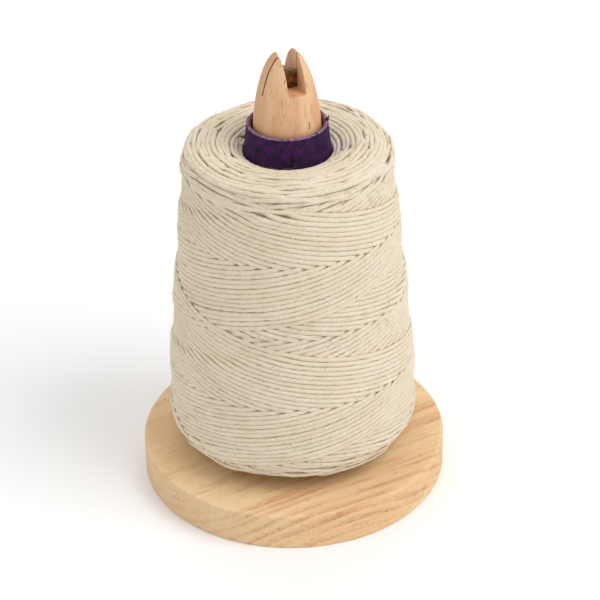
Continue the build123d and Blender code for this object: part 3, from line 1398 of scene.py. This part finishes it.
@dataclass
class StringPackage:
    """The wound string: a core, the strands in sight on it and the loose fibres on them."""

    node: str = "string_package"
    body: str = "string_wrap"
    slot: str = "cotton_string"
    shoulder_height: float = 168.0
    heel_height: float = 38.0
    middle_height: float = 100.0
    ring_spacing: float = 2.35
    first_ring: float = 1.2
    side_pieces: int = 4
    core_inset: float = 2.0
    core_trim: float = 1.0
    core_every: int = 5
    core_columns: int = 160
    lint_count: int = 3200
    lint_points: int = 7
    lint_diameter: float = 0.07

    def build(self) -> list[bpy.types.Object]:
        """Winds the package.

        Returns:
            The pieces made.
        """
        outline = Outline.of_solid(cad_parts[self.node])
        winder = Winder(outline)
        self._wind(winder)
        strands = winder.strands()
        shown = sum(strand.run[-1] - strand.run[0] for strand in strands) * MM
        log.info("%d strands in sight, %.1f m", len(strands), shown)

        cotton = CottonFinish().material()
        string = StrandSweep(winder.diameter, cotton)
        groups = self._groups(strands)
        pieces = [string.sweep(f"string_{name}", group) for name, group in groups.items() if group]
        lint = StrandSweep(self.lint_diameter, cotton, 3)
        pieces.append(lint.sweep("string_lint", self._lint(strands, winder)))
        pieces.append(self._core(outline))
        return [placed(piece, self.body, self.node) for piece in pieces]

    def _wind(self, winder: Winder) -> None:
        """Lays the rings at both ends and then the strokes between them.

        Args:
            winder: The winder, with nothing laid yet.
        """
        outline = winder.outline
        shoulder, heel = outline.arc_of(self.shoulder_height), outline.arc_of(self.heel_height)
        end = outline.arc[-1]
        winder.lay_rings(np.arange(self.first_ring, shoulder - 1, self.ring_spacing), 1, Zone.CROWN)
        winder.lay_rings(np.arange(end - self.first_ring, heel + 1, -self.ring_spacing), -1, Zone.FOOT)
        winder.lay_strokes(shoulder, heel, outline.arc_of(self.middle_height), self.middle_height)

    def _groups(self, strands: Sequence[Strand]) -> dict[str, list[Strand]]:
        """Shares the strands out among pieces, with those of the side in several, in the order laid.

        Args:
            strands: The strands in sight.

        Returns:
            The strands of each piece, by the end of its name.
        """
        groups = {zone.value: [s for s in strands if s.zone is zone] for zone in (Zone.CROWN, Zone.FOOT)}
        side = [strand for strand in strands if strand.zone is Zone.SIDE]
        share = math.ceil(len(side) / self.side_pieces)
        for number in range(self.side_pieces):
            groups[f"{Zone.SIDE.value}_{number + 1}"] = side[number * share:(number + 1) * share]
        return groups

    def _lint(self, strands: Sequence[Strand], winder: Winder) -> list[Strand]:
        """Draws loose fibres that stand off the string and go back into it.

        Args:
            strands: The strands in sight.
            winder: The winder, whose chance goes on.

        Returns:
            The fibres.
        """
        chance, count = winder.chance, self.lint_points
        hairs = []
        for _ in range(self.lint_count):
            strand = strands[int(chance.integers(len(strands)))]
            at = int(chance.integers(1, len(strand.points)))
            outward = strand.outward[at]
            along = strand.points[at] - strand.points[at - 1]
            along = along / (np.linalg.norm(along) + 1e-9)
            across = np.cross(outward, along)
            heading = chance.uniform(0, FULL_TURN) + np.cumsum(chance.normal(0, 0.45, count))
            stride = chance.uniform(0.25, 0.75)
            steps = np.cos(heading)[:, None] * along + np.sin(heading)[:, None] * across
            height = chance.uniform(0.15, 0.8)
            rise = height * np.sin(np.linspace(0, math.pi * chance.uniform(0.6, 1.0), count))
            start = strand.points[at] + outward * winder.diameter * 0.45
            points = start + np.cumsum(steps * stride, axis=0) + rise[:, None] * outward
            outwards = np.repeat(outward[None], count, 0)
            hairs.append(Strand(points, outwards, np.arange(count) * stride, strand.zone, strand.tone))
        return hairs

    def _core(self, outline: Outline) -> bpy.types.Object:
        """Makes the closed body that the strands lie on.

        Args:
            outline: The package's skin.

        Returns:
            The core.
        """
        kept = (outline.arc > self.core_trim) & (outline.arc < outline.arc[-1] - self.core_trim)
        radius = (outline.radius - self.core_inset * outline.out_radius)[kept][::self.core_every]
        height = (outline.height - self.core_inset * outline.out_height)[kept][::self.core_every]
        points, faces = turned(list(zip(radius, height)), self.core_columns)
        return add_object("string_core", mesh_of("string_core", points, faces), CoreFinish().material())


# ---------------------------------------------------------------------------------------------
# Winding cone
# ---------------------------------------------------------------------------------------------


@dataclass
class WindingCone:
    """The card cone and the purple paper glued round it and folded over its rim."""

    card: str = "cardboard_cone"
    sleeve: str = "paper_sleeve"
    paper: float = 0.3
    air: float = 0.06
    coarse_rows: int = 12
    fine_reach: float = 15.0
    fine_gap: float = 0.7
    roll: float = 0.75
    lip_reach: float = 0.7
    lip_rows: int = 5
    roll_steps: int = 6
    tab_turn: float = -27.0
    tab_half: float = 3.4
    tab_height: float = 3.0
    tab_lean: float = 2.0
    columns: int = 420

    def build(self) -> list[bpy.types.Object]:
        """Dresses the card and makes the paper.

        Returns:
            The pieces made.
        """
        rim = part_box(self.card)[1].z / MM
        dress(self.card, CardFinish(rim).material())
        return [placed(self._paper(rim), "string_wrap", self.sleeve)]

    def _radius(self, height: float) -> float:
        """Gives the paper's outer radius, from the CAD sleeve's two ends.

        Args:
            height: Where to give it.

        Returns:
            The radius at that height.
        """
        places = points_of(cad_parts[self.sleeve].data)
        radius = np.hypot(places[:, 0], places[:, 1])
        low, high = places[:, 2].min(), places[:, 2].max()
        at_low = radius[places[:, 2] < low + 0.05].max()
        at_high = radius[places[:, 2] > high - 0.05].max()
        return float(at_low + (height - low) / (high - low) * (at_high - at_low))

    def _paper(self, rim: float) -> bpy.types.Object:
        """Makes the sleeve, folded over the card's rim with a torn inner edge.

        Args:
            rim: Height of the card's rim.

        Returns:
            The sleeve, with its rows closer together near the rim.
        """
        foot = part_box(self.sleeve)[0].z / MM
        fine = rim - self.fine_reach
        coarse_heights = np.linspace(foot, fine - 1, self.coarse_rows)
        heights = np.r_[coarse_heights, np.arange(fine, rim - 1, self.fine_gap)]
        wall = [(self._radius(height), float(height)) for height in heights]
        crease = self._radius(rim) - self.roll
        top = rim + self.paper + self.air
        over = eased((crease, top - self.roll), self.roll, 8, 90, self.roll_steps)
        reach = self.lip_reach / self.lip_rows
        fold = [(crease - reach * row, top - 0.02 * row) for row in range(1, self.lip_rows + 1)]
        outside = np.array(wall + over + fold)
        along = np.gradient(outside, axis=0)
        along /= np.hypot(along[:, 0], along[:, 1])[:, None]
        inside = outside + self.paper * np.c_[-along[:, 1], along[:, 0]]
        section = np.vstack([outside, inside[::-1]])
        points, faces = turned([tuple(corner) for corner in section], self.columns)
        points = self._worn(points, len(outside), crease)
        return add_object("paper_wrap", mesh_of("paper_wrap", points, faces), PaperFinish(rim).material())

    def _worn(self, points: np.ndarray, rows: int, crease: float) -> np.ndarray:
        """Makes the inner edge ragged, lifts a torn tab and makes the outside slightly uneven.

        Args:
            points: The sleeve's points, row by row: up the outside, over the rim, and back inside.
            rows: Rows on each face of the paper.
            crease: Radius at which the fold over the rim starts.

        Returns:
            The moved points.
        """
        points = points.reshape(2 * rows, self.columns, 3)
        angles = np.arange(self.columns) * (FULL_TURN / self.columns)
        ring = np.c_[np.cos(angles), np.sin(angles), np.zeros(self.columns)]
        around = ring * 30
        ragged = 0.6 * lumps(around, 9, 3.1) + 0.45 * lumps(around, 1.8, 5.3)
        wave = 0.14 * lumps(around, 5, 2.6) + 0.1 * lumps(around, 1.5, 7.7)
        off_tab = np.mod(angles - math.radians(self.tab_turn) + math.pi, FULL_TURN) - math.pi
        tab = np.exp(-(off_tab / math.radians(self.tab_half)) ** 2)
        top = points[rows - self.lip_rows - 1, 0, 2]
        tab_rows = self.lip_rows + self.roll_steps
        for row, places in enumerate(points):
            up_sheet = min(row, 2 * rows - 1 - row)
            share = min(max(up_sheet - (rows - tab_rows - 1), 0) / tab_rows, 1.0)
            inward = np.maximum(crease - np.hypot(places[:, 0], places[:, 1]), 0)
            places += ring * (tab * share * self.tab_lean - inward * ragged)[:, None]
            places[:, 2] += tab * share * self.tab_height + wave * smooth(places[:, 2], top - 2, top)
        flat = points.reshape(-1, 3)
        swell = 0.10 * lumps(flat, 6, 1.7) + 0.05 * lumps(flat, 2.0, 8.2)
        swell *= smooth(flat[:, 2], top - 14, top - 10)
        radial = flat[:, :2] / np.hypot(flat[:, 0], flat[:, 1])[:, None]
        flat[:, :2] += radial * np.maximum(swell, -0.02)[:, None]
        return flat


# ---------------------------------------------------------------------------------------------
# Wooden stand
# ---------------------------------------------------------------------------------------------


@dataclass
class WoodenStand:
    """The pine base, the turned peg with its slotted nose, the blade in it and the screw below."""

    body: str = "stand"
    top_ease: float = 1.7
    foot_ease: float = 1.0
    socket_ease: float = 0.25
    glue_gap: float = 0.05
    screw_hole: float = 2.15
    countersink: float = 4.85
    disc_columns: int = 288
    voxel: float = 0.34
    rubbing: int = 2
    kept_share: float = 0.25

    def build(self) -> list[bpy.types.Object]:
        """Makes the base and the peg and dresses the blade and the screw.

        Returns:
            The pieces made.
        """
        dress("cutter_blade", BladeFinish().material())
        dress("base_screw", ZincFinish().material())
        return [placed(self._disc(), self.body, "base_disc"),
                placed(self._peg(), self.body, "spindle_peg")]

    def _disc(self) -> bpy.types.Object:
        """Turns the base with eased edges, the peg's socket and the countersunk hole.

        Returns:
            The base, very slightly uneven.
        """
        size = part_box("base_disc")[1]
        radius, thick = size.x / MM, size.z / MM
        points, faces = turned(self._disc_section(radius, thick), self.disc_columns)
        wide = np.hypot(points[:, 0], points[:, 1])
        rim = smooth(wide, radius - 6, radius - 1)
        worn = 0.12 * lumps(points, 22, 4.4) + 0.04 * lumps(points, 6, 9.4)
        points[:, :2] *= (1 - rim * np.maximum(worn + 0.06, 0) / radius)[:, None]
        upper = smooth(points[:, 2], thick - 3, thick) * smooth(wide, 18, 24)
        points[:, 2] += 0.03 * lumps(points, 14, 2.2) * upper
        return add_object("pine_base_disc", mesh_of("pine_base_disc", points, faces), PineFinish().material())

    def _disc_section(self, radius: float, thick: float) -> list[tuple[float, float]]:
        """Draws the base's closed section, with rows that let its faces be worn a little.

        Args:
            radius: The base's radius.
            thick: Its thickness.

        Returns:
            Radius and height of each corner, from the screw's hole round the outside to the socket.
        """
        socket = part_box("spindle_peg")[1].x / MM + self.glue_gap
        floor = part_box("spindle_peg")[0].z / MM
        foot, top = radius - self.foot_ease, radius - self.top_ease
        section = [(self.countersink, 0.0)]
        section += [(r, 0.0) for r in np.linspace(self.countersink + 6, foot - 1, 14)]
        section += eased((foot, self.foot_ease), self.foot_ease, -90, 0, 6)
        section += [(radius, z) for z in np.linspace(self.foot_ease + 1.5, thick - self.top_ease - 1.5, 9)]
        section += eased((top, thick - self.top_ease), self.top_ease, 0, 90, 8)
        section += [(r, thick) for r in np.linspace(top - 1, socket + 1.2, 18)]
        section += [(socket + self.socket_ease, thick), (socket, thick - self.socket_ease)]
        section += [(socket, floor), (self.screw_hole, floor)]
        section += [(self.screw_hole, self.countersink - self.screw_hole)]
        return section

    def _peg(self) -> bpy.types.Object:
        """Rounds the sharp edges of a copy of the CAD peg, as sanding does.

        Returns:
            The peg.
        """
        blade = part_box("cutter_blade")
        material = PegFinish((blade[0].y + blade[1].y) / 2 / MM, blade[0].z / MM).material()
        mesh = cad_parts["spindle_peg"].data.copy()
        piece = add_object("turned_peg", mesh, material)
        shell = bmesh.new()
        shell.from_mesh(mesh)
        bmesh.ops.remove_doubles(shell, verts=shell.verts, dist=0.01 * MM)
        shell.to_mesh(mesh)
        shell.free()
        sanding = piece.modifiers.new("sanding", "REMESH")
        sanding.mode = "VOXEL"
        sanding.voxel_size = self.voxel * MM
        rubbing = piece.modifiers.new("rubbing", "SMOOTH")
        rubbing.factor = 0.5
        rubbing.iterations = self.rubbing
        piece.modifiers.new("thinning", "DECIMATE").ratio = self.kept_share
        baked(piece)
        piece.data.polygons.foreach_set("use_smooth", [True] * len(piece.data.polygons))
        piece.data.materials.clear()
        piece.data.materials.append(material)
        return piece


# ---------------------------------------------------------------------------------------------
# Studio
# ---------------------------------------------------------------------------------------------


@dataclass(frozen=True)
class SoftLight:
    """A square lamp that faces the object: angles in degrees, lengths in metres, power in watts."""

    name: str
    azimuth: float
    elevation: float
    away: float
    size: float
    power: float


@dataclass
class Studio:
    """A pale floor, soft lights and a camera a little above the object, in degrees and metres."""

    azimuth: float = -25.0
    elevation: float = 32.25
    roll: float = -1.113
    distance: float = 1.09192
    aim_height: float = 0.093377
    aim_right: float = 0.004373
    focal_length: float = 135.0
    far_clip: float = 20.0
    floor_size: float = 6.0
    surround: float = 0.62
    lights_aim: Triple = (0.0, 0.0, 0.1)
    lights: tuple[SoftLight, ...] = (
        SoftLight("key", 40, 50, 1.8, 1.1, 17.0),
        SoftLight("fill", -90, 40, 2.0, 1.6, 5.0),
        SoftLight("back", 160, 50, 2.0, 1.4, 6.0),
    )

    def build(self) -> None:
        """Sets up the floor, the lights and the camera."""
        self._floor()
        self._surround()
        for light in self.lights:
            self._hang(light)
        self._camera()
        bpy.context.scene.view_settings.view_transform = "Standard"

    def _floor(self) -> None:
        """Lays the floor."""
        half = self.floor_size / 2
        corners = [(-half, -half, 0), (half, -half, 0), (half, half, 0), (-half, half, 0)]
        mesh = bpy.data.meshes.new("floor")
        mesh.from_pydata(corners, [], [(0, 1, 2, 3)])
        add_object("floor", mesh, FloorFinish().material())

    def _surround(self) -> None:
        """Whitens the surroundings."""
        world = bpy.data.worlds.new("studio")
        bpy.context.scene.world = world
        world.use_nodes = True
        background = world.node_tree.nodes["Background"]
        background.inputs["Color"].default_value = (1.0, 1.0, 1.0, 1.0)
        background.inputs["Strength"].default_value = self.surround

    @staticmethod
    def _direction(azimuth: float, elevation: float) -> Vector:
        """Gives the direction from the object to a viewer."""
        a, e = math.radians(azimuth), math.radians(elevation)
        return Vector((math.sin(a) * math.cos(e), -math.cos(a) * math.cos(e), math.sin(e)))

    def _hang(self, light: SoftLight) -> None:
        """Hangs one lamp.

        Args:
            light: The lamp.
        """
        glow = bpy.data.lights.new(light.name, "AREA")
        glow.size = light.size
        glow.energy = light.power
        lamp = bpy.data.objects.new(light.name, glow)
        bpy.context.scene.collection.objects.link(lamp)
        back = self._direction(light.azimuth, light.elevation)
        lamp.location = Vector(self.lights_aim) + back * light.away
        lamp.rotation_euler = back.to_track_quat("Z", "Y").to_euler()

    def _camera(self) -> None:
        """Places the camera."""
        back = self._direction(self.azimuth, self.elevation)
        a = math.radians(self.azimuth)
        right = Vector((math.cos(a), math.sin(a), 0))
        rise = back.cross(right)
        aim = right * self.aim_right + Vector((0, 0, self.aim_height))
        basis = Matrix((right, rise, back)).transposed().to_4x4()
        camera = bpy.data.objects.new("camera", bpy.data.cameras.new("camera"))
        camera.data.lens = self.focal_length
        camera.data.clip_end = self.far_clip
        camera.matrix_world = (Matrix.Translation(aim + back * self.distance) @ basis
                               @ Matrix.Rotation(math.radians(self.roll), 4, "Z"))
        bpy.context.scene.collection.objects.link(camera)
        bpy.context.scene.camera = camera


def triangles(piece: bpy.types.Object) -> int:
    """Counts a piece's triangles."""
    piece.data.calc_loop_triangles()
    return len(piece.data.loop_triangles)


def main() -> None:
    """Builds the object's looks and the studio."""
    logging.basicConfig(level=logging.INFO, format="%(name)s: %(message)s")
    Studio().build()
    for assembly in (StringPackage(), WindingCone(), WoodenStand()):
        for piece in assembly.build():
            log.info("%s: %d triangles", piece.name, triangles(piece))


if __name__ == "__main__":
    main()
